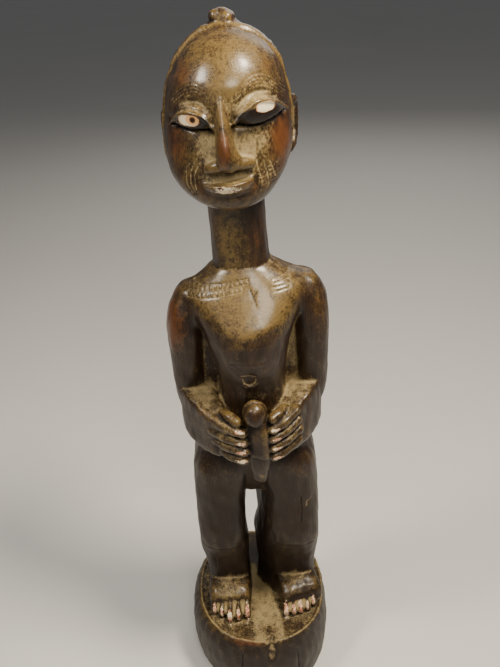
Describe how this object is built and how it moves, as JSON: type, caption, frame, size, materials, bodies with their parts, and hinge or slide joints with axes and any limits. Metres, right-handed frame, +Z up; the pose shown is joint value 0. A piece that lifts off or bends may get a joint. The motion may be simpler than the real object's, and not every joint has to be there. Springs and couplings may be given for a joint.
{
  "type": "carved standing figure",
  "caption": "Standing figure on a round drum base, carved from one block of dark wood: long neck, egg-shaped head with a topknot, hands on the belly, flexed legs.",
  "frame": {"origin": "middle of the flat underside of the base", "axes": "+Z up from the base to the topknot, -Y toward the viewer that the face looks at, +X to that viewer's right"},
  "size_m": [0.0964, 0.1072, 0.4233],
  "materials": {
    "wood": "dark glossy patina, worn and dusty"
  },
  "bodies": {
    "root": {"figure": "wood"}
  },
  "joints": []
}
